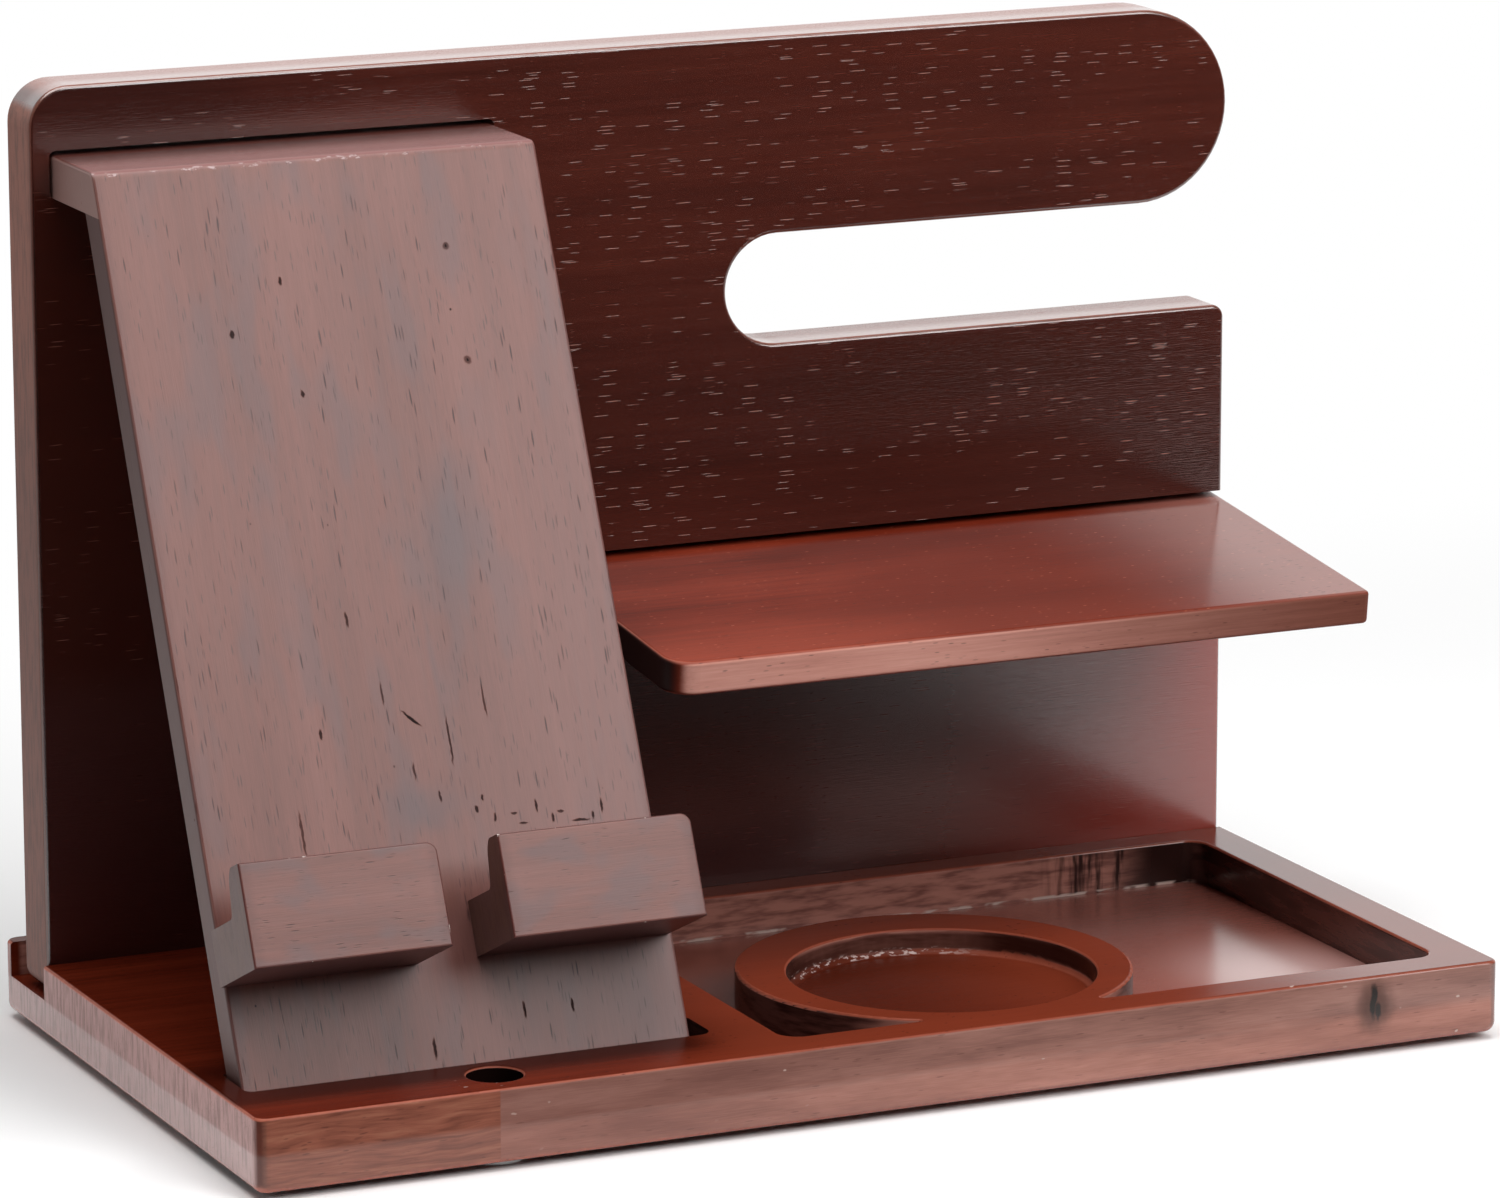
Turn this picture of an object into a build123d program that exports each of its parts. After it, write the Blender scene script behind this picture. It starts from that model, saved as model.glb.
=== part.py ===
"""Wooden charging station organizer: a knock-down desk stand for a phone, a wallet, keys and a watch.

A grooved base board carries an upright back panel on two loose dowels. The panel has an open key
slot, an open notch that holds a sliding wallet shelf, and a shallow slot that takes the cap of a
leaning phone stand. The stand is a plank with a cap on top, a foot that drops into the base, and
two hooks that are screwed on from behind.

All sizes are in millimetres. The pieces are drawn from the front left corner of the base board, at
its underside: x to the right, y to the back, z up. Each piece is then moved so that the origin is
on the surface that the pads stand on, under the middle of the base.
"""
import os
from math import atan, cos, degrees, radians, sin, tan

from build123d import *

# Base board
base_width = 302.0
base_depth = 162.0
base_thickness = 17.0
base_corner_radius = 3.0
base_top_round = 0.9
base_bottom_round = 2.5
rim_round = 0.7

# Pads under the base
pad_radius = 6.0
pad_thickness = 1.5
pad_inset = 16.0

# Groove for the back panel, with room for a tablet behind it
groove_depth = 8.0
rear_lip = 4.7
tablet_gap = 7.3
panel_clearance = 0.3

# Tray pocket with its raised ring and dish
tray_stand_rail = 12.9
tray_right_rail = 11.0
tray_front_rail = 10.3
tray_rear_rail = 8.8
tray_depth = 10.3
tray_corner_radius = 5.0
ring_radius = 45.2
ring_side_gap = 10.3
ring_into_rail = 4.8
ring_wedge_radius = 0.7
ring_wall = 10.0
dish_depth = 6.0
dish_cove = 2.0
dish_shift = 4.1

# Cable hole and the channel under the base
cable_hole_radius = 6.2
cable_hole_setback = 11.3
channel_width = 7.0
channel_depth = 5.5

# Back panel, set in a little from both ends of the base
panel_inset = 1.0
panel_thickness = 15.0
panel_height = 208.9
panel_top_radius = 9.5
panel_foot_radius = 5.0
panel_edge_round = 1.0
arm_height = 46.2
key_slot_height = 26.0
key_slot_length = 130.5
key_slot_corner_radius = 3.0

# Loose dowels between the base and the panel
dowel_radius = 4.0
dowel_floor = 3.0
dowel_in_panel = 12.0
dowel_clearance = 0.1
dowel_end_clearance = 1.0
dowel_places_share = (0.3, 0.8)

# Wallet shelf and its notch
shelf_plank_gap = 11.7
shelf_reach = 73.1
shelf_thickness = 8.0
shelf_tilt = 6.3
shelf_height = 90.65
shelf_corner_radius = 7.0
shelf_end_radius = 1.5
shelf_edge_round = 1.0
shelf_clearance = 0.1
notch_end_clearance = 0.4

# Phone stand: plank, foot and cap
plank_left = 6.5
plank_width = 105.4
plank_thickness = 8.4
plank_setback = 26.5
plank_edge_round = 0.7
foot_depth = 7.6
foot_floor_clearance = 0.4
foot_front_clearance = 2.6
foot_rear_clearance = 0.5
foot_slot_left_clearance = 0.9
foot_slot_right_clearance = 3.2
foot_slot_corner_radius = 2.0
cap_drop = 15.5
cap_reach = 25.2
cap_thickness = 9.6
cap_tongue = 6.0
cap_edge_round = 2.4
cap_slot_side_clearance = 0.8
cap_slot_top_clearance = 1.1
cap_slot_floor_clearance = 0.2
cap_slot_end_clearance = 0.5
cap_slot_corner_radius = 1.5
cap_dowel_radius = 1.5
cap_dowel_in_cap = 5.5
cap_dowel_in_plank = 7.0
cap_dowel_places_share = (0.2, 0.8)

# Phone hooks and their screws
hook_cable_gap = 14.2
hook_overhang = 1.0
hook_height_on_plank = 21.3
ledge_thickness = 12.5
phone_gap = 14.3
lip_thickness = 8.9
lip_height = 10.5
lip_flare = 1.7
lip_top_thickness = 5.0
lip_top_drop = 3.0
hook_edge_round = 0.5
hook_corner_radius = 2.5
hook_inner_round = 1.5
screw_radius = 1.75
screw_head_radius = 3.5
screw_head_height = 2.0
screw_length = 22.0
screw_spacing = 26.0

# One overrun serves every cut, and one tolerance finds edges and corners by their place
overrun = 5.0
match = 0.01

# Places that follow from the sizes above
panel_face = base_depth - rear_lip - tablet_gap - panel_thickness
panel_back = panel_face + panel_thickness
panel_left = panel_inset
panel_right = base_width - panel_inset
groove_floor = base_thickness - groove_depth
panel_top = groove_floor + panel_height
arm_bottom = panel_top - arm_height
key_slot_bottom = arm_bottom - key_slot_height
plank_right = plank_left + plank_width
plank_middle = plank_left + plank_width / 2
foot_bottom = base_thickness - foot_depth
foot_slot_floor = foot_bottom - foot_floor_clearance
foot_slot_right = plank_right + foot_slot_right_clearance
cap_top = panel_top - cap_drop
cap_bottom = cap_top - cap_thickness
cap_back = panel_face + cap_tongue
lean = atan((panel_face - cap_reach - plank_setback) / (cap_top - base_thickness))
plank_section = plank_thickness / cos(lean)
hook_length = (plank_width - hook_cable_gap) / 2
tray_right = base_width - tray_right_rail
tray_left = foot_slot_right + tray_stand_rail
tray_back = panel_face - tray_rear_rail
tray_floor = base_thickness - tray_depth
ring_x = tray_left + ring_side_gap + ring_radius
ring_y = tray_front_rail - ring_into_rail + ring_radius
dish_radius = ring_radius - ring_wall
dish_floor = base_thickness - dish_depth
hook_reach = phone_gap + lip_thickness
tilt = radians(shelf_tilt)
shelf_left = plank_right + shelf_plank_gap
notch_left = shelf_left - notch_end_clearance
notch_height = (
    shelf_thickness / cos(tilt)
    + (panel_thickness - shelf_thickness * sin(tilt)) * tan(tilt)
    + shelf_clearance
)
dowel_y = panel_face + panel_thickness / 2


def block(x0, x1, y0, y1, z0, z1):
    """A box between two x, two y and two z values."""
    middle = Pos((x0 + x1) / 2, (y0 + y1) / 2, (z0 + z1) / 2)
    return middle * Box(x1 - x0, y1 - y0, z1 - z0)


def upright(radius, x, y, z0, z1):
    """A round bar that stands at x, y from z0 up to z1."""
    return Pos(x, y, (z0 + z1) / 2) * Cylinder(radius, z1 - z0)


def edges_at(shape, axis, value):
    """The edges of a shape that lie whole in one plane across an axis."""
    return [e for e in shape.edges()
            if abs(tuple(e.bounding_box().min)[axis] - value) < match
            and abs(tuple(e.bounding_box().max)[axis] - value) < match]


def corners_at(outline, x, height):
    """The corners of a flat outline at one place."""
    return [v for v in outline.vertices()
            if abs(v.X - x) < match and abs(v.Y - height) < match]


def on_plank(shape):
    """Move a shape drawn on an upright plank, with its face at y = 0, onto the leaning one."""
    return Pos(0, plank_setback, base_thickness) * Rot(-degrees(lean), 0, 0) * shape


def plank_face_at(height):
    """How far back the plank's front face is at a height."""
    return plank_setback + (height - base_thickness) * tan(lean)


# Base board

def board_blank():
    """The plain board with rounded corners and eased edges."""
    board = block(0, base_width, 0, base_depth, 0, base_thickness)
    board = fillet(board.edges().filter_by(Axis.Z), base_corner_radius)
    board = fillet(edges_at(board, 2, base_thickness), base_top_round)
    return fillet(edges_at(board, 2, 0), base_bottom_round)


def tray_outline():
    """The tray's outline in plan: a rounded rectangle less the ring, with its two wedges eased."""
    length = tray_right - tray_left
    width = tray_back - tray_front_rail
    middle = Pos((tray_left + tray_right) / 2, (tray_front_rail + tray_back) / 2)
    outline = middle * RectangleRounded(length, width, tray_corner_radius)
    outline -= Pos(ring_x, ring_y) * Circle(ring_radius)
    half_chord = (ring_radius ** 2 - (ring_y - tray_front_rail) ** 2) ** 0.5
    wedges = (corners_at(outline, ring_x - half_chord, tray_front_rail)
              + corners_at(outline, ring_x + half_chord, tray_front_rail))
    return fillet(wedges, ring_wedge_radius)


def foot_slot():
    """The slot that takes the foot of the phone stand."""
    slot = block(plank_left - foot_slot_left_clearance, foot_slot_right,
                 plank_face_at(foot_bottom) - foot_front_clearance,
                 plank_setback + plank_section + foot_rear_clearance,
                 foot_slot_floor, base_thickness + overrun)
    left = [e for e in slot.edges().filter_by(Axis.Z) if e.center().X < plank_middle]
    slot = fillet(left, foot_slot_corner_radius)
    right = [e for e in slot.edges().filter_by(Axis.Z) if e.center().X > plank_right]
    return fillet(right, foot_slot_right_clearance)


def open_tops():
    """The tray, the dish in its ring and the cable hole, which all have eased rims."""
    tray = Pos(0, 0, tray_floor) * extrude(tray_outline(), tray_depth + overrun)
    dish = upright(dish_radius, ring_x, ring_y - dish_shift, dish_floor, base_thickness + overrun)
    hole = upright(cable_hole_radius, plank_middle, cable_hole_setback, -overrun,
                   base_thickness + overrun)
    return [tray, dish, hole]


def base_board():
    """The base: tray, ring and dish, cable hole and channel, foot slot, groove and dowel holes."""
    board = board_blank()
    for pocket in open_tops():
        board -= pocket
    top = board.faces().filter_by(Axis.Z).sort_by(Axis.Z)[-1]
    rims = [e for wire in top.inner_wires() for e in wire.edges()]
    board = fillet(rims, rim_round)
    cove = [e for e in edges_at(board, 2, dish_floor) if e.geom_type == GeomType.CIRCLE]
    board = fillet(cove, dish_cove)
    board -= block(-overrun, base_width + overrun, panel_face - panel_clearance,
                   base_depth - rear_lip, groove_floor, base_thickness + overrun)
    board -= foot_slot()
    board -= block(plank_middle - channel_width / 2, plank_middle + channel_width / 2,
                   cable_hole_setback, base_depth + overrun, -overrun, channel_depth)
    for share in dowel_places_share:
        board -= upright(dowel_radius, share * base_width, dowel_y, dowel_floor, base_thickness)
    return board


def foot_pads():
    """Four thin round pads under the corners, by name."""
    columns = {"left": pad_inset, "right": base_width - pad_inset}
    rows = {"front": pad_inset, "rear": base_depth - pad_inset}
    return {f"foot_pad_{row}_{column}": upright(pad_radius, x, y, -pad_thickness, 0)
            for row, y in rows.items() for column, x in columns.items()}


def panel_dowels():
    """The two loose dowels that stand in the groove, by name."""
    top = groove_floor + dowel_in_panel
    return {f"panel_dowel_{side}": upright(dowel_radius, share * base_width, dowel_y, dowel_floor, top)
            for side, share in zip(("left", "right"), dowel_places_share)}


# Back panel

def panel_outline():
    """The panel's front view, drawn in x and height, without the shelf notch."""
    arm_radius = arm_height / 2
    slot_radius = key_slot_height / 2
    slot_end = panel_right - key_slot_length + slot_radius
    spine = Pos((panel_left + slot_end) / 2, (groove_floor + panel_top) / 2)
    spine *= Rectangle(slot_end - panel_left, panel_height)
    block_height = key_slot_bottom - groove_floor
    low = Pos((panel_left + panel_right) / 2, groove_floor + block_height / 2)
    low *= Rectangle(panel_right - panel_left, block_height)
    arm_end = panel_right - arm_radius
    arm = Pos((panel_left + arm_end) / 2, arm_bottom + arm_radius)
    arm *= Rectangle(arm_end - panel_left, arm_height)
    arm += Pos(arm_end, arm_bottom + arm_radius) * Circle(arm_radius)
    outline = spine + low + arm
    outline -= Pos(slot_end, key_slot_bottom + slot_radius) * Circle(slot_radius)
    outline = fillet(corners_at(outline, panel_left, panel_top), panel_top_radius)
    outline = fillet(corners_at(outline, panel_left, groove_floor), panel_foot_radius)
    outline = fillet(corners_at(outline, panel_right, groove_floor), panel_foot_radius)
    return fillet(corners_at(outline, panel_right, key_slot_bottom), key_slot_corner_radius)


def back_panel():
    """The upright panel, with its edges eased before the notch, slot and dowel holes are cut."""
    face = Plane.XZ.offset(-panel_face) * panel_outline()
    panel = extrude(face, -panel_thickness)
    for y in (panel_face, panel_back):
        panel = fillet(edges_at(panel, 1, y), panel_edge_round)
    panel -= block(notch_left, base_width + overrun, panel_face - overrun, panel_back + overrun,
                   shelf_height, shelf_height + notch_height)
    panel -= cap_slot()
    for share in dowel_places_share:
        panel -= upright(dowel_radius + dowel_clearance, share * base_width, dowel_y,
                         groove_floor - overrun,
                         groove_floor + dowel_in_panel + dowel_end_clearance)
    return panel


def cap_slot():
    """The shallow slot in the panel's face that the cap's tongue goes into."""
    slot = block(plank_left - cap_slot_side_clearance, plank_right + cap_slot_side_clearance,
                 panel_face - overrun, cap_back + cap_slot_end_clearance,
                 cap_bottom - cap_slot_floor_clearance, cap_top + cap_slot_top_clearance)
    return fillet(slot.edges().filter_by(Axis.Y), cap_slot_corner_radius)


# Wallet shelf

def wallet_shelf():
    """The shelf, which tips forward until it binds in its notch."""
    depth = (shelf_reach + panel_thickness) / cos(tilt)
    front = -shelf_reach / cos(tilt)
    shelf = block(shelf_left, panel_right, front, front + depth, 0, shelf_thickness)
    upright_edges = shelf.edges().filter_by(Axis.Z)
    left_front = [e for e in upright_edges if e.center().X < panel_right - shelf_corner_radius
                  and e.center().Y < 0]
    shelf = fillet(left_front, shelf_corner_radius)
    right_front = [e for e in shelf.edges().filter_by(Axis.Z)
                   if e.center().X > panel_right - shelf_corner_radius and e.center().Y < 0]
    shelf = fillet(right_front, shelf_end_radius)
    for z in (shelf_thickness, 0):
        rim = [e for e in edges_at(shelf, 2, z) if e.center().Y < front + depth - shelf_edge_round]
        shelf = fillet(rim, shelf_edge_round)
    return Pos(0, panel_face, shelf_height + shelf_clearance / 2) * Rot(shelf_tilt, 0, 0) * shelf


# Phone stand

def phone_plank():
    """The leaning plank, cut level at both ends and drilled for the cap's dowels and the screws."""
    slab = block(plank_left, plank_right, 0, plank_thickness, -panel_top, 2 * panel_top)
    slab = fillet(slab.edges().filter_by(Axis.Z), plank_edge_round)
    keep = block(plank_left - overrun, plank_right + overrun, 0, base_depth, foot_bottom, cap_bottom)
    plank = on_plank(slab) & keep
    for screw in hook_screws().values():
        plank -= screw
    for dowel in cap_dowels().values():
        plank -= dowel
    return plank


def plank_cap():
    """The level cap on top of the plank, whose back edge goes into the panel."""
    behind = on_plank(block(plank_left - overrun, plank_right + overrun, 0, base_depth,
                            0, 2 * panel_top))
    cap = block(plank_left, plank_right, 0, cap_back, cap_bottom, cap_top) & behind
    front = [e for e in edges_at(cap, 2, cap_top)
             if e.center().Y < plank_face_at(cap_top) + match]
    cap = fillet(front, cap_edge_round)
    for x in (plank_left, plank_right):
        outline = [e for e in edges_at(cap, 0, x)
                   if e.center().Y < cap_back - match and e.center().Z > cap_bottom + match]
        cap = fillet(outline, plank_edge_round)
    for dowel in cap_dowels().values():
        cap -= dowel
    return cap


def cap_dowels():
    """The two small dowels that hold the cap on the plank and lean with it, by name."""
    middle = plank_thickness / 2
    joint = (cap_bottom - base_thickness + middle * sin(lean)) / cos(lean)
    bottom = joint - cap_dowel_in_plank
    top = joint + cap_dowel_in_cap
    return {f"cap_dowel_{side}": on_plank(upright(cap_dowel_radius, plank_left + share * plank_width,
                                                  middle, bottom, top))
            for side, share in zip(("left", "right"), cap_dowel_places_share)}


# Phone hooks

hook_lefts = {
    "left": plank_left - hook_overhang,
    "right": plank_right - hook_length - hook_overhang,
}


def hook_profile():
    """The hook's end view: how far it stands out from the plank, and how far up the plank."""
    bottom = hook_height_on_plank
    ledge = bottom + ledge_thickness
    top = ledge + lip_height
    flare_top = top - lip_top_drop
    points = [
        (0, bottom),
        (-hook_reach, bottom),
        (-hook_reach, top),
        (-hook_reach + lip_top_thickness, top),
    ]
    edge = Polyline(*points)
    curve = ThreePointArc(
        points[-1],
        (-(phone_gap + lip_flare + (hook_reach - lip_top_thickness - phone_gap - lip_flare) / 3),
         top - lip_top_drop / 2),
        (-(phone_gap + lip_flare), flare_top),
    )
    inner = Polyline((-(phone_gap + lip_flare), flare_top), (-phone_gap, ledge), (0, ledge), points[0])
    return make_face([edge.edges(), curve.edges(), inner.edges()])


def hook_front(left):
    """The hook's front view, drawn in x and height up the plank, with its far top corner rounded."""
    top = hook_height_on_plank + ledge_thickness + lip_height
    middle = Pos(left + hook_length / 2, top / 2)
    outline = middle * Rectangle(hook_length, top)
    return fillet(corners_at(outline, left + hook_length, top), hook_corner_radius)


def phone_hook(side):
    """A hook: a ledge with a flared lip, across part of the plank."""
    left = hook_lefts[side]
    outline = Plane.YZ.offset(left) * hook_profile()
    hook = extrude(outline, hook_length)
    corner_z = hook_height_on_plank + ledge_thickness
    inner = [e for e in hook.edges().filter_by(Axis.X)
             if abs(e.center().Z - corner_z) < match and abs(e.center().Y + phone_gap) < match]
    hook = fillet(inner, hook_inner_round)
    hook &= extrude(Plane.XZ * hook_front(left), hook_reach + overrun)
    hook = fillet(edges_at(hook, 1, -hook_reach), hook_edge_round)
    hook = on_plank(hook)
    for screw in hook_screws().values():
        hook -= screw
    return hook


def hook_screws():
    """Countersunk screws from the back of the plank into each hook, two a side, by name."""
    height = hook_height_on_plank + ledge_thickness / 2
    shank = Cylinder(screw_radius, screw_length)
    head = Cone(screw_head_radius, screw_radius, screw_head_height)
    head = Pos(0, 0, -screw_length / 2 + screw_head_height / 2) * head
    screw = shank + head
    screws = {}
    for side, left in hook_lefts.items():
        for place, step in (("outer", -1), ("inner", 1)):
            reach = step if side == "left" else -step
            x = left + hook_length / 2 + reach * screw_spacing / 2
            y = plank_thickness - screw_length / 2
            screws[f"{side}_hook_screw_{place}"] = on_plank(Pos(x, y, height) * Rot(90, 0, 0) * screw)
    return screws


def all_pieces():
    """Every piece by its node's name."""
    pieces = {"base_board": base_board()}
    pieces.update(foot_pads())
    pieces.update(panel_dowels())
    pieces["back_panel"] = back_panel()
    pieces["wallet_shelf"] = wallet_shelf()
    pieces["phone_plank"] = phone_plank()
    pieces["plank_cap"] = plank_cap()
    pieces.update(cap_dowels())
    for side in hook_lefts:
        pieces[f"{side}_phone_hook"] = phone_hook(side)
    pieces.update(hook_screws())
    return pieces


os.makedirs("parts", exist_ok=True)
to_frame = Pos(-base_width / 2, -base_depth / 2, pad_thickness)
for name, piece in all_pieces().items():
    export_step(to_frame * piece, f"parts/{name}.step")
    print(name, round(piece.volume, 1))
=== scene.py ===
# %% [markdown]
# A wooden charging dock, stained dark red and lacquered, with a leaning phone stand and a wallet
# shelf. All its shapes come from the packed model, so these cells give them their wood, metal and
# rubber, light them like a product photograph and set the camera where the photograph was taken.
# The scene is in metres, but the finishes count in millimetres on the dock: the base runs from -151
# to 151 across and from -81 at the front to 81 at the back, and its top is 18.5 high.

# %% The packed frame
import math

import bpy
import numpy as np
from mathutils import Euler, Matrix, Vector

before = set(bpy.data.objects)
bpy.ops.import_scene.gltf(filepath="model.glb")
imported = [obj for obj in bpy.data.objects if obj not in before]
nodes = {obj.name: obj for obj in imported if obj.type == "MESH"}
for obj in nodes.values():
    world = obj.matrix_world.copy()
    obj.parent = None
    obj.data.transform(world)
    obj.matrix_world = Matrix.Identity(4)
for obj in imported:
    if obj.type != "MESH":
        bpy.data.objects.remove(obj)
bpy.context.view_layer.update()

# %% [markdown]
# The photograph was taken from the left front and a little above, with a long lens from well back,
# because its edges hardly converge. A camera can be aimed by eye, but then no edge quite meets the
# photograph. So the place, the turn and the lens below are those of a camera that was fitted to the
# edges of the base and the panel.

# %% Camera
camera_place = (-0.70589, -1.54819, 0.48539)
camera_turn_deg = 24.553
camera_dip_deg = 12.748
camera_roll_deg = 0.09
lens_mm = 185.14
camera_data = bpy.data.cameras.new("dock_camera")
camera_data.lens = lens_mm
camera_data.sensor_width = 36.0
camera = bpy.data.objects.new("dock_camera", camera_data)
camera.location = camera_place
camera.rotation_euler = [
    math.radians(angle) for angle in (90 - camera_dip_deg, camera_roll_deg, -camera_turn_deg)
]
bpy.context.scene.collection.objects.link(camera)
bpy.context.scene.camera = camera
print("camera at", camera_place, "lens", lens_mm)

# %% [markdown]
# Lacquered wood shows what stands around it, and small lamps would leave hard spots and sharp
# shadows. So both lamps here are wide. One in front and to the right lies where the leaning plank
# mirrors it, which gives the plank its pale satin veil. The other is overhead and lights every top
# face, and the shadows under the hooks and the shelf stay soft.

# %% Lamps
def soft_lamp(name, place, aim, width, height, watts):
    """A rectangular lamp at a place, turned so that its face points at the aim."""
    data = bpy.data.lights.new(name, "AREA")
    data.shape = "RECTANGLE"
    data.size, data.size_y, data.energy = width, height, watts
    lamp = bpy.data.objects.new(name, data)
    lamp.visible_camera = False
    towards = np.array(aim) - np.array(place)
    lamp.location = place
    lamp.rotation_euler = (
        math.atan2(math.hypot(towards[0], towards[1]), -towards[2]),
        0.0,
        math.atan2(-towards[0], towards[1]),
    )
    bpy.context.scene.collection.objects.link(lamp)
    print(name, "at", place, watts, "W")


dock_middle = (0.0, 0.0, 0.1)
soft_lamp("front_lamp", (0.60, -1.10, 1.00), dock_middle, 0.85, 0.78, 12.5)
soft_lamp("top_lamp", (-0.10, -0.25, 1.35), dock_middle, 1.3, 1.0, 18.0)

# %% [markdown]
# Behind the dock the studio is white and in front of it almost dark. The lacquer shows both: top
# faces mirror the white and go pale, while the panel mirrors the dark side and keeps its deep red.
# A picture of a room could be wrapped around the scene for this. Two smooth steps of the direction
# do as well and need no picture, so the world is white low down at the back, and dim towards the
# front and high above.

# %% World
world = bpy.data.worlds.new("studio")
world.use_nodes = True
bpy.context.scene.world = world
world_nodes, world_links = world.node_tree.nodes, world.node_tree.links
front_level, back_level, top_level = 0.03, 1.0, 0.22


def smooth_range(value, low, high, start, end):
    """A smooth step of a world value from start at low to end at high."""
    node = world_nodes.new("ShaderNodeMapRange")
    node.interpolation_type = "SMOOTHSTEP"
    world_links.new(value, node.inputs["Value"])
    for label, number in (("From Min", low), ("From Max", high), ("To Min", start), ("To Max", end)):
        node.inputs[label].default_value = number
    return node.outputs["Result"]


direction = world_nodes.new("ShaderNodeTexCoord")
split = world_nodes.new("ShaderNodeSeparateXYZ")
world_links.new(direction.outputs["Generated"], split.inputs[0])
level = world_nodes.new("ShaderNodeMath")
level.operation = "MULTIPLY"
backness = smooth_range(split.outputs["Y"], -0.05, 0.45, front_level, back_level)
lowness = smooth_range(split.outputs["Z"], 0.35, 0.70, 1.0, top_level)
world_links.new(backness, level.inputs[0])
world_links.new(lowness, level.inputs[1])
world_links.new(level.outputs[0], world_nodes["Background"].inputs["Strength"])
world_nodes["Background"].inputs["Color"].default_value = (1.0, 1.0, 1.0, 1.0)
bpy.context.scene.view_settings.view_transform = "Standard"
print("world from", front_level, "in front to", back_level, "behind")

# %% [markdown]
# Every finish below is built from the same few steps: take the object's own coordinates, stretch
# them along the grain, draw noise in them, and turn the noise into colour. The nodes could be placed
# and linked one by one, but a finish takes a hundred of them or more. So this class keeps one
# material and gives each step a short name.

# %% A kit for finishes
class Finish:
    """One material under construction. Most methods add a node and return its output."""

    def __init__(self, name):
        self.material = bpy.data.materials.new(name)
        self.material.use_nodes = True
        self.tree = self.material.node_tree
        self.shader = self.tree.nodes["Principled BSDF"]

    def add(self, kind, settings=None, **sockets):
        """A node with its settings. A socket goes by its label, or by i and its number."""
        node = self.tree.nodes.new(kind)
        for key, value in (settings or {}).items():
            setattr(node, key, value)
        for key, value in sockets.items():
            self.plug(node.inputs[int(key[1:]) if key[1:].isdigit() else key], value)
        return node

    def plug(self, socket, value):
        """Links a socket to an output, or sets it to a constant."""
        if isinstance(value, bpy.types.NodeSocket):
            self.tree.links.new(value, socket)
        else:
            socket.default_value = value

    def math(self, operation, first, second=0.0, clamp=False):
        """A sum, a difference or another operation on one or two values."""
        settings = {"operation": operation, "use_clamp": clamp}
        return self.add("ShaderNodeMath", settings, i0=first, i1=second).outputs[0]

    def product(self, *factors):
        """All the factors multiplied."""
        result = factors[0]
        for factor in factors[1:]:
            result = self.math("MULTIPLY", result, factor)
        return result

    def greatest(self, *values):
        """The greatest of the values."""
        result = values[0]
        for value in values[1:]:
            result = self.math("MAXIMUM", result, value)
        return result

    def span(self, value, low, high, start, end, kind="LINEAR"):
        """The range low to high of a value, moved to start to end."""
        node = self.add("ShaderNodeMapRange", {"interpolation_type": kind}, Value=value)
        limits = {"From Min": low, "From Max": high, "To Min": start, "To Max": end}
        for label, number in limits.items():
            node.inputs[label].default_value = number
        return node.outputs["Result"]

    def step(self, value, low, high):
        """A smooth step from 0 at low to 1 at high, or back where low is above high."""
        ends = (0.0, 1.0) if low < high else (1.0, 0.0)
        return self.span(value, min(low, high), max(low, high), *ends, kind="SMOOTHSTEP")

    def spread(self, value, low, high):
        """The range 0 to 1 spread straight from low to high."""
        return self.span(value, 0.0, 1.0, low, high)

    def ramp(self, value, *stops):
        """Colours at places between 0 and 1."""
        node = self.add("ShaderNodeValToRGB", Fac=value)
        elements = node.color_ramp.elements
        while len(elements) < len(stops):
            elements.new(0.5)
        for element, (place, colour) in zip(elements, stops):
            element.position = place
            element.color = (*colour, 1.0)
        return node.outputs["Color"]

    def blend(self, share, first, second):
        """The first colour, or the second where share is 1."""
        node = self.add("ShaderNodeMix", {"data_type": "RGBA"}, i0=share)
        for socket, value in ((node.inputs[6], first), (node.inputs[7], second)):
            self.plug(socket, (*value, 1.0) if isinstance(value, tuple) else value)
        return node.outputs[2]

    def tinted(self, colour, tint, *shares):
        """The colour, moved towards the tint by the product of the shares."""
        return self.blend(self.product(*shares), colour, tint)


print("kit steps:", ", ".join(name for name in vars(Finish) if not name.startswith("_")))

# %% [markdown]
# Pores, scratches and streaks could be painted on a picture, but a picture blurs close up and needs
# the surface cut open flat. Patterns that start from a place on the object stay sharp and run
# through the whole piece. Noise takes its size from how far that place is stretched. Flecks are one
# dash to a cell of a cell pattern, and a blot is a single oval.

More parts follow.
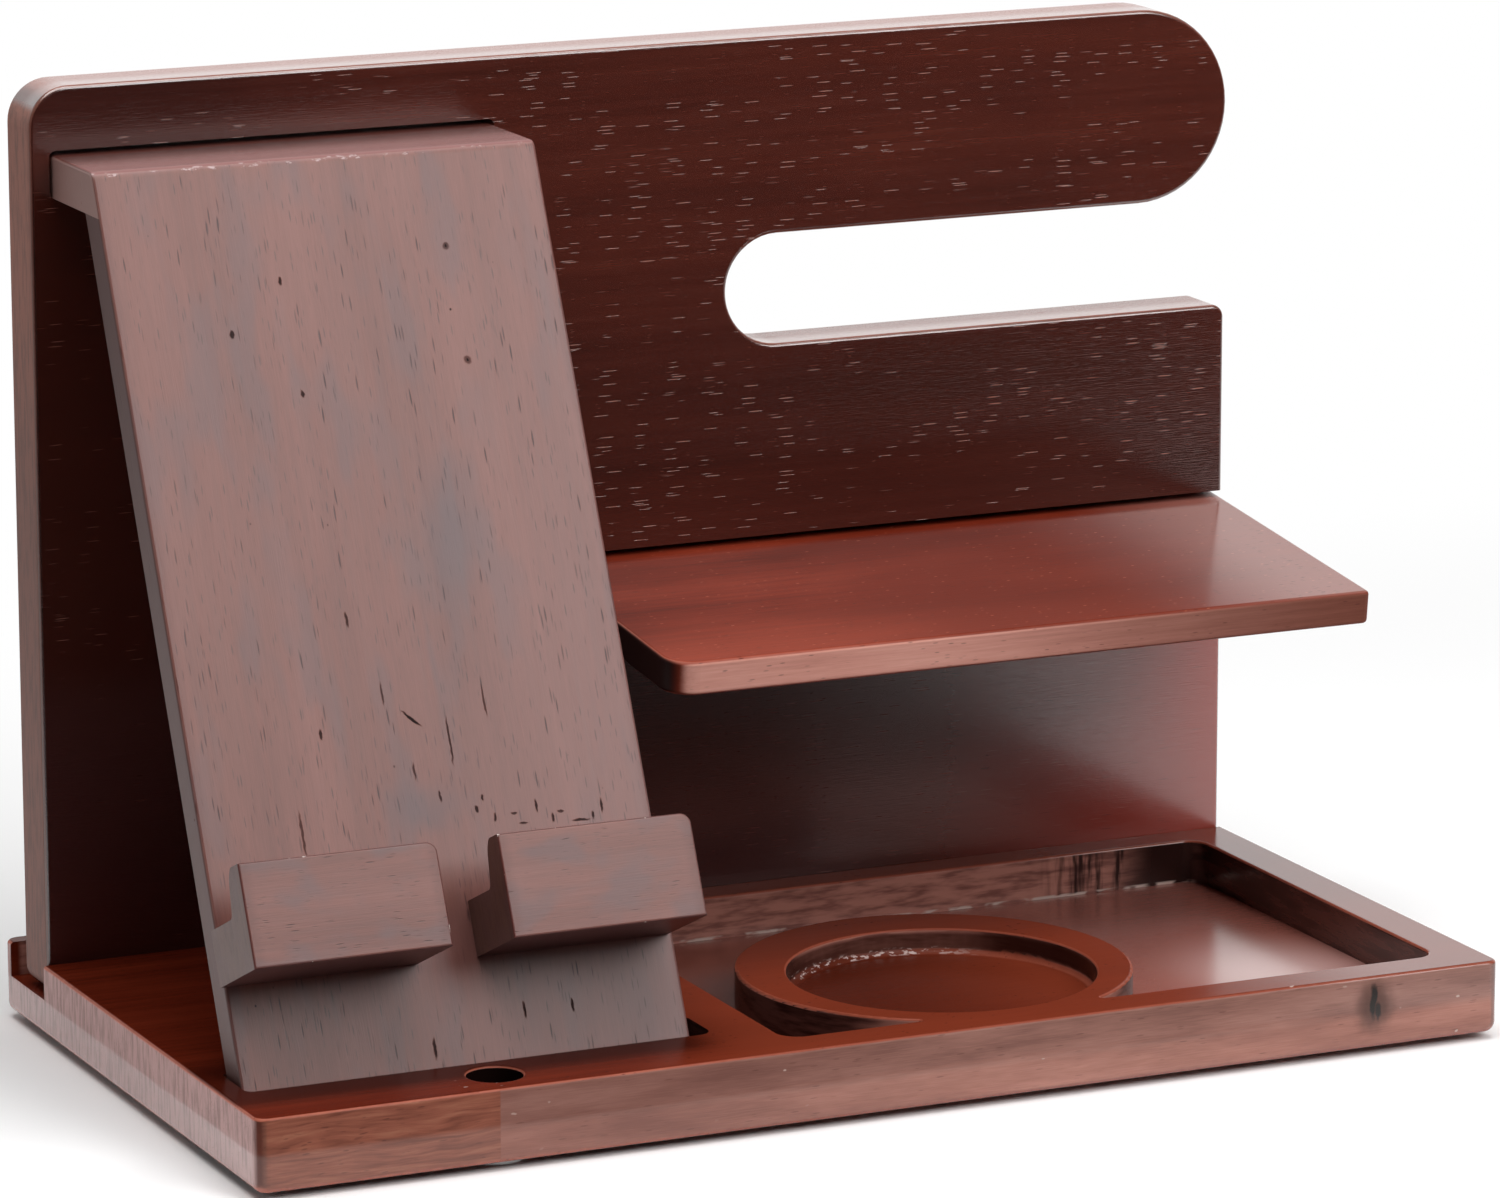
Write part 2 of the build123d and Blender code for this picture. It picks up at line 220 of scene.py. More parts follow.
class Pattern(Finish):
    """A finish that can also draw patterns on the object's own coordinates."""

    def coords(self, turn=(0.0, 0.0, 0.0)):
        """The object's own coordinates in millimetres, turned about the origin."""
        place = self.add("ShaderNodeTexCoord").outputs["Object"]
        turned = self.add("ShaderNodeMapping", Vector=place, Scale=(1000.0,) * 3, Rotation=turn)
        return turned.outputs[0]

    def axes(self, vector):
        """The three coordinates of a vector."""
        return tuple(self.add("ShaderNodeSeparateXYZ", Vector=vector).outputs)

    def stretch(self, vector, size):
        """The vector divided by a feature size along each axis, so that noise has that size."""
        scale = [1.0 / length for length in size]
        return self.add("ShaderNodeMapping", Vector=vector, Scale=scale).outputs[0]

    def noise(self, vector, size, detail=2.0, roughness=0.5, distortion=0.0):
        """Noise from 0 to 1 with features of the given size."""
        node = self.add("ShaderNodeTexNoise", Vector=self.stretch(vector, size), Scale=1.0,
                        Detail=detail, Roughness=roughness, Distortion=distortion)
        return node.outputs["Fac"]

    def flecks(self, vector, size, radius, share):
        """Dashes, one to a cell of the given size, each with its own strength from 0 to 1.

        Each cell has a random tint. Its dash fades out at the radius, as a share of the cell, and
        its strength is a smooth step of the tint from 1 - share to 1, so 1 - share of the cells
        stay empty.
        """
        cells = self.add("ShaderNodeTexVoronoi", Vector=self.stretch(vector, size), Scale=1.0)
        dash = self.step(cells.outputs["Distance"], radius, radius * 0.45)
        tint = self.add("ShaderNodeSeparateColor", Color=cells.outputs["Color"]).outputs[0]
        return self.product(dash, self.step(tint, 1.0 - share, 1.0))

    def vector_math(self, operation, **sockets):
        """A node for an operation on vectors."""
        return self.add("ShaderNodeVectorMath", {"operation": operation}, **sockets)

    def blot(self, vector, centre, size, soft=0.3):
        """An oval that is 1 inside and fades to 0 at its size. A size of 0 leaves that axis out."""
        scale = [1.0 / length if length else 0.0 for length in size]
        shift = [-place * factor for place, factor in zip(centre, scale)]
        oval = self.add("ShaderNodeMapping", Vector=vector, Scale=scale, Location=shift).outputs[0]
        distance = self.vector_math("LENGTH", i0=oval).outputs["Value"]
        return self.step(distance, 1.0, soft)

    def ragged(self, vector, size, reach):
        """The vector moved about by up to a reach in millimetres, which makes outlines uneven."""
        node = self.add("ShaderNodeTexNoise", Vector=self.stretch(vector, size), Scale=1.0)
        middle = (0.5, 0.5, 0.5)
        off = self.vector_math("SUBTRACT", i0=node.outputs["Color"], i1=middle).outputs[0]
        off = self.vector_math("SCALE", i0=off, Scale=2.0 * reach).outputs[0]
        return self.vector_math("ADD", i0=vector, i1=off).outputs[0]

    def facing(self, turn=(0.0, 0.0, 0.0)):
        """How far the surface faces along each of the turned axes, without sign."""
        normal = self.add("ShaderNodeNewGeometry").outputs["Normal"]
        turned = self.add("ShaderNodeMapping", Vector=normal, Rotation=turn).outputs[0]
        return self.axes(self.vector_math("ABSOLUTE", i0=turned).outputs[0])

    def bump(self, height, depth_mm):
        """A normal that tilts as if the height stood out by the depth."""
        node = self.add("ShaderNodeBump", Height=height)
        node.inputs["Distance"].default_value = depth_mm / 1000.0
        return node.outputs["Normal"]


print("pattern steps:", ", ".join(name for name in vars(Pattern) if not name.startswith("_")))

# %% [markdown]
# Stained wood keeps soft bands from its growth rings, finer streaks and fibres inside them, and
# blotches where it drank more stain. A photograph of wood could be laid on each piece, but it would
# repeat and break at the edges. Four layers of noise, each stretched along the grain, run through
# the whole piece and together give it its figure.

# %% Figure of the wood
def grain_size(grain, along, across):
    """A feature size with its length on the grain axis."""
    size = [across] * 3
    size[grain] = along
    return size


def wood_figure(finish, grain, band):
    """The figure of the wood, with the fibres and the streaks that are in it.

    figure = 0.38 bands + 0.24 streaks + 0.18 fibres + 0.20 blotches
    """
    def layer(along, across, detail, roughness, distortion=0.0):
        size = grain_size(grain, along, across)
        return finish.noise(finish.spot, size, detail, roughness, distortion)

    bands = layer(*band, 3.0, 0.55, 0.3)
    streaks = layer(60.0, 1.4, 3.0, 0.6, 0.15)
    fibres = layer(7.0, 0.30, 2.0, 0.6)
    blotches = layer(42.0, 16.0, 2.0, 0.5)
    figure = finish.product(bands, 0.38)
    for part, share in ((streaks, 0.24), (fibres, 0.18), (blotches, 0.20)):
        figure = finish.math("ADD", figure, finish.product(part, share))
    return figure, fibres, streaks


print("a streak in a board is about", grain_size(0, 60.0, 1.4), "mm")

# %% [markdown]
# Cut ends show short streaks across the board, and the rounded edges of the widest face are a little
# paler, partly rubbed and partly a painted highlight on the rounding. Faces could be picked by hand
# for this, but which way the surface faces tells the same, and it fades softly over a rounding. One
# function draws all of this, and each piece gives it its own grain direction and colours.

# %% Stained wood
def stained_wood(name, grain, face, tones, end_tint, wear_and_highlight_tint, rough, specular,
                 band=(220.0, 9.0), turn=(0.0, 0.0, 0.0)):
    """A finish of stained wood, and its colour.

    The figure goes through the three tones. Where the surface faces along the grain axis it takes
    the end tint, and where it rounds away from the face axis it takes the wear and highlight tint,
    which is partly wear and partly a painted highlight.
    """
    finish = Pattern(name)
    finish.spot = finish.coords(turn)
    finish.figure, finish.fibres, streaks = wood_figure(finish, grain, band)
    dark, middle, light = tones
    colour = finish.ramp(finish.figure, (0.36, dark), (0.5, middle), (0.64, light))
    finish.faces = finish.facing(turn)
    end_size = grain_size(grain, 0.9, 1.1)
    end_size[2 if grain != 2 else 0] = 8.0
    ends = finish.noise(finish.spot, end_size, 3.0, 0.6)
    dark_end = tuple(0.62 * part for part in end_tint)
    end_colour = finish.blend(finish.step(ends, 0.42, 0.66), end_tint, dark_end)
    finish.end = finish.step(finish.faces[grain], 0.80, 0.93)
    colour = finish.blend(finish.end, colour, end_colour)
    # The rounded edges take the wear and highlight tint: partly wear, partly a painted highlight.
    worn = finish.noise(finish.spot, (6.0, 6.0, 6.0), 3.0, 0.65)
    off_face = finish.step(finish.faces[face], 0.97, 0.84)
    edge = finish.product(off_face, finish.step(finish.faces[face], 0.12, 0.4))
    colour = finish.tinted(colour, wear_and_highlight_tint, edge, finish.spread(worn, 0.35, 1.0))
    finish.height = finish.product(finish.math("SUBTRACT", finish.fibres, 0.5), 0.35)
    finish.rough = finish.spread(streaks, rough - 0.04, rough + 0.04)
    finish.shader.inputs["Specular IOR Level"].default_value = specular
    return finish, colour


print("axes: 0 runs across the dock, 1 to its back and 2 up")

# %% [markdown]
# Each finish ends in the same way: its colour, its roughness and a slight bump go to the shader, and
# the material goes onto its pieces. Lacquer is a clear coat over the wood, which may be thick in one
# place and worn thin in another. Pores could be cut into the mesh, but they are far finer than its
# faces, so they are drawn dark or pale and sunk by the bump.

# %% Pores, lacquer and dressing
def pored(finish, colour, tint, crowd, size, radius, share, depth=0.5, reach=0.5, where=1.0):
    """Open pores that crowd together in some places. They sink below the surface by the depth."""
    crowds = finish.noise(finish.spot, crowd, 2.0, 0.6)
    pores = finish.flecks(finish.ragged(finish.spot, (9.0, 9.0, 9.0), reach), size, radius, share)
    pores = finish.product(pores, finish.step(crowds, 0.40, 0.55), where)
    finish.height = finish.math("SUBTRACT", finish.height, finish.product(pores, depth))
    return finish.blend(pores, colour, tint)


def rough_where(finish, share, rough):
    """Moves the roughness to the given one where the share is 1."""
    kept = finish.product(finish.rough, finish.spread(share, 1.0, 0.0))
    finish.rough = finish.math("ADD", kept, finish.product(share, rough))


def lacquered(finish, weight, rough):
    """A clear coat whose weight changes from place to place."""
    finish.plug(finish.shader.inputs["Coat Weight"], weight)
    finish.shader.inputs["Coat Roughness"].default_value = rough


def dress(finish, *names):
    """Puts a finish on every material slot of the named nodes."""
    for name in names:
        slots = nodes[name].material_slots
        if not slots:
            nodes[name].data.materials.append(finish.material)
        for slot in slots:
            slot.material = finish.material
    print(finish.material.name, "on", ", ".join(names))


def finished(finish, colour, depth_mm, *names):
    """Closes a finish with its colour and bump, and puts it on the named nodes."""
    finish.plug(finish.shader.inputs["Base Color"], colour)
    finish.plug(finish.shader.inputs["Roughness"], finish.rough)
    finish.plug(finish.shader.inputs["Normal"], finish.bump(finish.height, depth_mm))
    dress(finish, *names)


print("pores, lacquer and dressing are ready for", len(nodes), "nodes")


# %% [markdown]
# The back panel is the darkest wood, and its grain lies flat. It is painted darker lower down as
# shade. Its front is painted nearly black behind the stand as shadow, with a pale painted reflection
# low on the left and a lighter red painted sheen at the right end under the shelf. One colour all
# over would be simpler, but these changes show at once, so smooth steps along its width and height
# set the tone. Those for the front stop halfway through its thickness, so the back stays more even.

# %% Tones of the back panel
finish, colour = stained_wood(
    "panel_wood", 0, 1,
    tones=((0.060, 0.0085, 0.0036), (0.086, 0.0125, 0.0057), (0.114, 0.0190, 0.0090)),
    end_tint=(0.310, 0.098, 0.058), wear_and_highlight_tint=(0.240, 0.100, 0.075), rough=0.22, specular=0.9)
x, y, z = finish.axes(finish.spot)
# Painted shade: the panel is painted darker lower down.
colour = finish.tinted(colour, (0.030, 0.0035, 0.0015), finish.step(z, 190.0, 110.0), 0.45)
front_half = finish.step(y, 63.0, 57.0)
front_face = finish.product(finish.step(finish.faces[1], 0.75, 0.95), front_half)
# Painted reflection: a pale veil on the lower front, left of the shelf's middle.
painted_veil_lower_left = finish.product(finish.step(z, 90.0, 75.0), finish.step(x, 75.0, 40.0), front_face)
colour = finish.tinted(colour, (0.085, 0.0330, 0.0330), painted_veil_lower_left, 0.6)
# Painted sheen: the right end under the shelf is painted a lighter red.
painted_sheen_under_shelf = finish.product(finish.step(x, 55.0, 145.0), finish.step(z, 95.0, 80.0), front_face)
colour = finish.tinted(colour, (0.430, 0.062, 0.042), painted_sheen_under_shelf, 0.75)
# Painted shadow: the front is painted nearly black behind the stand.
painted_shadow_behind_stand = finish.product(finish.step(x, -60.0, -120.0), front_face)
colour = finish.tinted(colour, (0.022, 0.0020, 0.0009), painted_shadow_behind_stand, 0.5)
print("panel toned by its height, width and depth")

# %% [markdown]
# Pale filler sits in the panel's pores as thin dashes a few millimetres long. Some are bright and
# most are faint, and they come in crowds. As painted shade, the pale dashes and dots fade where the
# shelf and the stand shade the panel. The same cell pattern draws them in three sizes: pale dashes,
# thin dark ones and dots. The top face is painted paler, as a painted reflection of the white
# background. The lacquer is full on the front, thin on the back and missing on the cut ends.

# %% Filler and lacquer of the back panel
# Painted shade: the pale pores and dots fade below the shelf and beside the stand.
above_shelf = finish.spread(finish.step(z, 72.0, 96.0), 0.2, 1.0)
beside_stand = finish.spread(finish.step(x, -60.0, -25.0), 0.45, 1.0)
in_light = finish.product(above_shelf, beside_stand)
colour = pored(
    finish, colour, tint=(0.400, 0.190, 0.150), crowd=(50.0, 20.0, 8.0), size=(9.0, 0.8, 0.5),
    radius=0.25, share=0.75, reach=0.12, where=in_light)
thin = finish.flecks(finish.spot, (8.0, 0.6, 0.4), 0.26, 0.55)
colour = finish.tinted(colour, (0.026, 0.0045, 0.0030), thin, 0.45)
dots = finish.flecks(finish.spot, (3.2, 0.9, 0.5), 0.20, 0.35)
colour = finish.tinted(colour, (0.200, 0.080, 0.060), dots, in_light, 0.5)
# Painted reflection: the top face is painted paler, as where it mirrors the white background.
painted_pale_top = finish.step(finish.faces[2], 0.70, 0.95)
colour = finish.tinted(colour, (0.340, 0.120, 0.085), painted_pale_top, 0.85)
off_ends, front_coat = finish.spread(finish.end, 1.0, 0.0), finish.spread(front_half, 0.25, 1.0)
lacquered(finish, finish.product(off_ends, front_coat), 0.16)
rough_where(finish, finish.end, 0.6)
finished(finish, colour, 0.14, "back_panel")

# %% [markdown]
# The base is a board glued up from staves that run from end to end. Each stave took the stain in
# its own way, so the tone changes at the joints. The staves could be pieces of their own, but their
# joints are flush, so only the tone changes: the place is rounded down to a row and a number in that
# row, and white noise turns these two whole numbers into the tone of one stave.

# %% Staves of the base
half_depth, front_joint = 81.0, -95.2
stave_length, stave_width, stave_shift = 240.0, 40.5, 114.67


def stave_tone(finish):
    """A tone from 0 to 1 for each stave.

    row = floor((y + half depth) / width), column = floor((x - front joint + row * shift) / length)
    """
    x, y, z = finish.axes(finish.spot)
    row = finish.math("DIVIDE", finish.math("ADD", y, half_depth), stave_width)
    row = finish.math("FLOOR", row)
    moved = finish.math("ADD", x, finish.math("MULTIPLY", row, stave_shift))
    column = finish.math("DIVIDE", finish.math("ADD", moved, -front_joint), stave_length)
    column = finish.math("FLOOR", column)
    key = finish.add("ShaderNodeCombineXYZ", X=column, Y=row).outputs[0]
    return finish.add("ShaderNodeTexWhiteNoise", Vector=key).outputs["Value"]


# The base's pale mauve end tint is partly its cut ends' own colour and partly a painted reflection.
finish, colour = stained_wood(
    "base_wood", 0, 2,
    tones=((0.078, 0.0078, 0.0026), (0.122, 0.0140, 0.0050), (0.172, 0.0230, 0.0085)),
    end_tint=(0.560, 0.345, 0.325), wear_and_highlight_tint=(0.560, 0.170, 0.110),
    band=(200.0, 12.0), rough=0.24, specular=0.04)
tone = stave_tone(finish)
colour = finish.tinted(colour, (0.085, 0.0170, 0.0085), finish.spread(tone, 0.0, 0.30))
print("staves", stave_length, "mm long and", stave_width, "mm wide")

# %% [markdown]
# The top is orange red, with painted shade that leaves it darker on the left and darkest beside the
# foot of the stand. Its lacquer is worn nearly away, but full towards the right end and on the floor
# of the tray, where it mirrors the white background. The coat alone could give the tray its gleam,
# but it stays darker than on the real one, so the floor also gets a paler tint there as a painted
# reflection, with a painted gleam at its front right. The dish is painted darkest on its left as
# shade.

# %% Top, tray and dish of the base
x, y, z = finish.axes(finish.spot)
# Painted shade: orange only right of the stand's foot, so the top stays darker on the left.
colour = finish.tinted(colour, (0.225, 0.0420, 0.0190), finish.step(x, -62.0, -24.0), 0.55)
# Painted shade: nearly black on the top beside the foot of the stand.
painted_shade_by_foot = finish.product(
    finish.step(y, -75.0, -66.0), finish.step(x, -34.0, -46.0), finish.step(y, -30.0, -45.0),
    finish.step(finish.faces[2], 0.5, 0.9))
colour = finish.tinted(colour, (0.030, 0.0040, 0.0020), painted_shade_by_foot, 0.8)
colour = pored(
    finish, colour, tint=(0.040, 0.0070, 0.0040), crowd=(40.0, 12.0, 12.0), size=(3.0, 0.7, 0.7),
    radius=0.20, share=0.7, depth=0.3)
in_tray = finish.step(z, 11.0, 9.5)
full_coat = finish.greatest(finish.step(x, 80.0, 130.0), in_tray)
lacquered(finish, finish.spread(full_coat, 0.05, 1.0), 0.19)
# Painted reflection: the tray floor is painted paler towards the right, brightest in the gleam.
colour = finish.tinted(colour, (0.330, 0.1220, 0.0960), in_tray, finish.step(x, -40.0, 60.0), 0.7)
gleam = finish.blot(finish.spot, (119.0, -38.0, 0.0), (33.0, 44.0, 0.0), 0.1)
colour = finish.tinted(colour, (0.600, 0.3950, 0.3700), in_tray, gleam, 0.75)
dish_part = finish.blot(finish.spot, (32.5, -34.4, 0.0), (36.2, 36.2, 0.0), 0.96)
in_dish = finish.product(dish_part, finish.step(z, 18.2, 17.0))
# Painted shade: the dish is painted darkest on its left.
colour = finish.tinted(colour, (0.060, 0.0085, 0.0040), in_dish, finish.step(x, 75.0, 15.0), 0.80)
print("top, tray and dish toned")

# %% [markdown]
# The long sides are pale brown. In front a joint near the left end parts a stave with wavy, redder
# grain from the others, and to the right of it an upper and a lower layer differ a little. The
# stained top could run on over these sides, but they look like another wood, so they get tones of
# their own and are laid over the rest where the surface faces the front or the back.

# %% Long sides of the base
wavy = finish.ragged(finish.spot, (30.0, 30.0, 9.0), 2.5)
waves = finish.noise(wavy, (16.0, 3.0, 1.1), 3.0, 0.6)
left_stave = finish.ramp(
    waves, (0.34, (0.215, 0.075, 0.048)), (0.52, (0.350, 0.121, 0.077)),
    (0.70, (0.445, 0.180, 0.112)))
curly = finish.ragged(finish.spot, (12.0, 12.0, 6.0), 2.0)
strokes = finish.flecks(curly, (4.5, 0.8, 0.8), 0.30, 0.7)
left_stave = finish.tinted(left_stave, (0.090, 0.036, 0.028), strokes, 0.6)
clouds = finish.noise(finish.spot, (38.0, 8.0, 6.0), 3.0, 0.6)
cloudy = finish.math("ADD", finish.product(clouds, 0.7), finish.product(finish.fibres, 0.3))
upper = finish.ramp(
    cloudy, (0.36, (0.228, 0.108, 0.088)), (0.50, (0.305, 0.148, 0.119)),
    (0.66, (0.385, 0.196, 0.160)))
lower = finish.ramp(
    cloudy, (0.36, (0.265, 0.102, 0.075)), (0.50, (0.352, 0.142, 0.104)),
    (0.66, (0.445, 0.190, 0.143)))
right_stave = finish.blend(finish.step(z, 11.5, 8.5), upper, lower)
dark_strokes = finish.flecks(finish.spot, (5.0, 0.8, 0.7), 0.26, 0.6)
right_stave = finish.tinted(right_stave, (0.080, 0.030, 0.024), dark_strokes, 0.45)
past_joint = finish.step(x, front_joint - 0.2, front_joint + 0.2)
side = finish.blend(past_joint, left_stave, right_stave)
side = finish.tinted(side, (0.090, 0.0200, 0.0130), finish.step(x, 40.0, -60.0), 0.35)
outside = finish.step(finish.math("ABSOLUTE", y), half_depth - 2.0, half_depth - 0.6)
long_sides = finish.product(finish.step(finish.faces[1], 0.75, 0.95), outside)
colour = finish.blend(long_sides, colour, side)
print("joint in front at", front_joint, "mm")

# %% [markdown]
# The walls of the tray, the ring, the dish and the cable hole are smeared with dark stain. Painted
# shade makes the walls that face the ends, the dish's walls and the inside of the cable hole darker
# still, and takes the tray's back wall nearly black towards its right end. A pale painted highlight
# runs along the foot of that wall, where lacquer has gathered. The walls could be picked face by
# face, but they are just the upright faces that lie inside the outer sides, so facing and place find
# them. The dish also has small painted glints where the lacquer catches the light.

# %% Walls of the base
walls = finish.product(
    finish.step(finish.faces[2], 0.5, 0.2), finish.step(finish.math("ABSOLUTE", x), 149.5, 148.0),
    finish.step(finish.math("ABSOLUTE", y), 79.5, 78.0))
murk = finish.noise(finish.spot, (15.0, 15.0, 2.6), 3.0, 0.6)
streaky = finish.noise(finish.spot, (3.0, 3.0, 20.0), 3.0, 0.6)
bare, smeared = (0.440, 0.190, 0.148), (0.200, 0.078, 0.063)
across_wall = finish.blend(finish.step(murk, 0.40, 0.66), bare, smeared)
# Painted shade: the back wall grows streaky and then nearly black towards its right corner.
near_end = finish.product(finish.step(x, 94.0, 108.0), finish.step(streaky, 0.40, 0.64))
painted_shade_by_corner = finish.greatest(near_end, finish.step(x, 112.0, 128.0))
across_wall = finish.blend(painted_shade_by_corner, across_wall, (0.026, 0.0095, 0.0080))
# Painted shade: the walls that face the ends take darker copies of the wall tones.
dark_bare, dark_smeared = (0.090, 0.0330, 0.0260), (0.030, 0.0100, 0.0080)
painted_shade_side_wall = finish.blend(finish.step(murk, 0.42, 0.66), dark_bare, dark_smeared)
drops = finish.noise(finish.spot, (7.0, 3.0, 3.0), 2.0, 0.6)
# Painted highlight: a pale broken line along the foot of the back wall, where lacquer has gathered.
painted_highlight_at_foot = finish.product(
    finish.step(drops, 0.42, 0.55), finish.step(z, 9.1, 8.6), finish.step(y, 34.0, 36.0))
across_wall = finish.blend(painted_highlight_at_foot, across_wall, (0.560, 0.430, 0.380))
wall = finish.blend(finish.step(finish.faces[1], 0.6, 0.9), painted_shade_side_wall, across_wall)
colour = finish.blend(walls, colour, wall)
# Painted shade: the walls of the dish are painted nearly black.
colour = finish.tinted(colour, (0.040, 0.0100, 0.0060), in_dish, walls)
far_side = finish.product(in_dish, finish.step(y, -16.0, -9.0), finish.step(x, 58.0, 40.0))
beads = finish.noise(finish.spot, (2.2, 2.2, 0.7), 2.0, 0.6)
glints = finish.product(
    far_side, finish.step(z, 14.6, 13.4), finish.step(z, 12.6, 12.9), finish.step(beads, 0.52, 0.60))
colour = finish.tinted(colour, (0.760, 0.600, 0.560), glints, 0.75)
# Painted shade: the inside of the cable hole is painted nearly black.
hole = finish.blot(finish.spot, (-91.8, -69.7, 0.0), (9.0, 9.0, 0.0), 0.85)
colour = finish.tinted(colour, (0.008, 0.0030, 0.0025), walls, hole)
print("walls, dish and hole toned")

# %% [markdown]
# The front has a knot with a crack near its right end, the sides have a few pale chips, the rounded
# end corners carry a slightly darker painted reflection, and small pale nicks lie beside the cable
# hole. Noise alone would put such marks anywhere, so each one is an oval or a patch of flecks at its
# own place. Coordinates that are moved about by a millimetre make the outlines uneven.

# %% Knot, corners and chips of the base
knot_spot = finish.ragged(finish.spot, (3.0, 3.0, 3.0), 1.1)
front = finish.step(y, -78.0, -80.0)
halo = finish.blot(knot_spot, (118.5, 0.0, 11.6), (6.6, 0.0, 8.2))
colour = finish.tinted(colour, (0.075, 0.027, 0.018), halo, front, 0.85)
crack = finish.blot(knot_spot, (118.2, 0.0, 12.6), (1.2, 0.0, 5.0), 0.5)
colour = finish.tinted(colour, (0.014, 0.0080, 0.0060), crack, front)
branch = finish.blot(knot_spot, (119.5, 0.0, 10.2), (0.8, 0.0, 2.8), 0.5)
colour = finish.tinted(colour, (0.020, 0.0100, 0.0080), branch, front)
chips = finish.product(finish.flecks(knot_spot, (7.0, 7.0, 4.0), 0.10, 0.35), outside)
colour = finish.blend(chips, colour, (0.520, 0.380, 0.330))
# Painted reflection: the rounded end corners are painted a little darker.
corners = finish.product(
    finish.step(finish.faces[0], 0.15, 0.4), finish.step(finish.faces[2], 0.5, 0.2),
    finish.step(finish.math("ABSOLUTE", x), 146.5, 148.2), finish.step(finish.faces[1], 0.15, 0.4))
colour = finish.tinted(colour, (0.120, 0.052, 0.038), corners, 0.5)
by_hole = finish.blot(knot_spot, (-97.0, -74.0, 0.0), (9.0, 5.5, 0.0), 0.5)
nicks = finish.flecks(knot_spot, (2.4, 1.8, 1.8), 0.22, 0.6)
nicks = finish.product(nicks, by_hole, finish.step(finish.faces[2], 0.5, 0.9))
colour = finish.blend(nicks, colour, (0.640, 0.480, 0.430))
finished(finish, colour, 0.05, "base_board")

# %% [markdown]
# The wallet shelf is a thin board of the same stain, redder and lighter. Its lacquer is worn nearly
# away on the left and full on the right, where it mirrors the white background. A whole coat would
# veil all of it in white, so the weight of the coat rises along the shelf. Its top is painted more
# orange towards the front as painted light, darker from the middle rightwards as painted shade, and
# pale at the right end as a painted reflection. The shelf lies at a slope in its notch, and its
# coordinates are turned by that slope so that its top counts as level.

# %% Top of the wallet shelf
shelf_slope = math.radians(6.3)
# The shelf's dark end tint is painted shade on its cut ends.
finish, colour = stained_wood(
    "shelf_wood", 0, 2,
    tones=((0.085, 0.0100, 0.0040), (0.165, 0.0210, 0.0092), (0.250, 0.0390, 0.0190)),
    end_tint=(0.050, 0.020, 0.018), wear_and_highlight_tint=(0.520, 0.210, 0.160), band=(160.0, 22.0),
    turn=(-shelf_slope, 0.0, 0.0), rough=0.30, specular=0.04)
x, y, z = finish.axes(finish.spot)
level_part = finish.step(finish.faces[2], 0.6, 0.9)
rising = finish.spread(finish.step(x, 84.0, 140.0), 0.03, 1.0)
lacquered(finish, finish.product(level_part, rising), 0.17)
# Painted light: the top is painted more orange towards the front.
colour = finish.tinted(colour, (0.330, 0.0620, 0.0340), finish.step(y, 25.0, -15.0), 0.6)
# Painted shade: the shelf is painted darker from its middle rightwards.
colour = finish.tinted(colour, (0.110, 0.0125, 0.0050), finish.step(x, 5.0, 60.0), 0.6)
# Painted reflection: the level top is painted pale at the right end.
painted_sheen_right = finish.product(level_part, finish.step(x, 105.0, 145.0))
colour = finish.tinted(colour, (0.380, 0.1650, 0.1350), painted_sheen_right, 0.5)
colour = pored(
    finish, colour, tint=(0.075, 0.014, 0.008), crowd=(20.0, 12.0, 12.0), size=(3.4, 0.6, 0.6),
    radius=0.26, share=0.8, depth=0.3)
dots = finish.flecks(finish.spot, (3.0, 0.9, 0.9), 0.20, 0.40)
colour = finish.tinted(colour, (0.560, 0.200, 0.120), dots, 0.6)
print("shelf slopes", round(math.degrees(shelf_slope), 1), "degrees")

# %% [markdown]
# The shelf's front edge is pale on the left and brown on the right, with short dark strokes. Its
# rounded left end is painted nearly black as shade. Two ramps of the same figure, blended along the
# edge, keep the grain in step where the tone changes.

# %% Edges of the wallet shelf
left_front = finish.ramp(
    finish.figure, (0.36, (0.600, 0.262, 0.206)), (0.50, (0.780, 0.370, 0.300)),
    (0.64, (0.900, 0.480, 0.400)))
right_front = finish.ramp(
    finish.figure, (0.36, (0.150, 0.048, 0.032)), (0.50, (0.210, 0.072, 0.050)),
    (0.64, (0.265, 0.098, 0.070)))
front_edge = finish.blend(finish.step(x, 20.0, 150.0), left_front, right_front)
dark_strokes = finish.flecks(finish.spot, (3.5, 0.8, 0.7), 0.26, 0.6)
front_edge = finish.tinted(front_edge, (0.070, 0.026, 0.020), dark_strokes, 0.5)
front_part = finish.step(finish.faces[1], 0.75, 0.95)
colour = finish.blend(front_part, colour, front_edge)
# Painted shade: the rounded left end is painted nearly black.
painted_shade_left_end = finish.product(finish.step(finish.faces[0], 0.45, 0.9), finish.step(x, 0.0, -20.0))
colour = finish.blend(painted_shade_left_end, colour, (0.030, 0.0120, 0.0110))
rough_where(finish, front_part, 0.5)
finished(finish, colour, 0.04, "wallet_shelf")

# %% [markdown]
# The phone stand is the palest wood: a mauve brown with faint grey and pink bands that run up the
# plank. Its tones are partly its own colour and partly a painted veil of the front lamp's reflection.
# It has a few pits, a slanted scratch and, above the right hook, a crowd of dark marks. Noise would
# scatter such marks anywhere, so each is listed by its place across and along the plank, its half
# width, its half height and its strength.

# %% Marks on the plank
lean = math.radians(24.195)
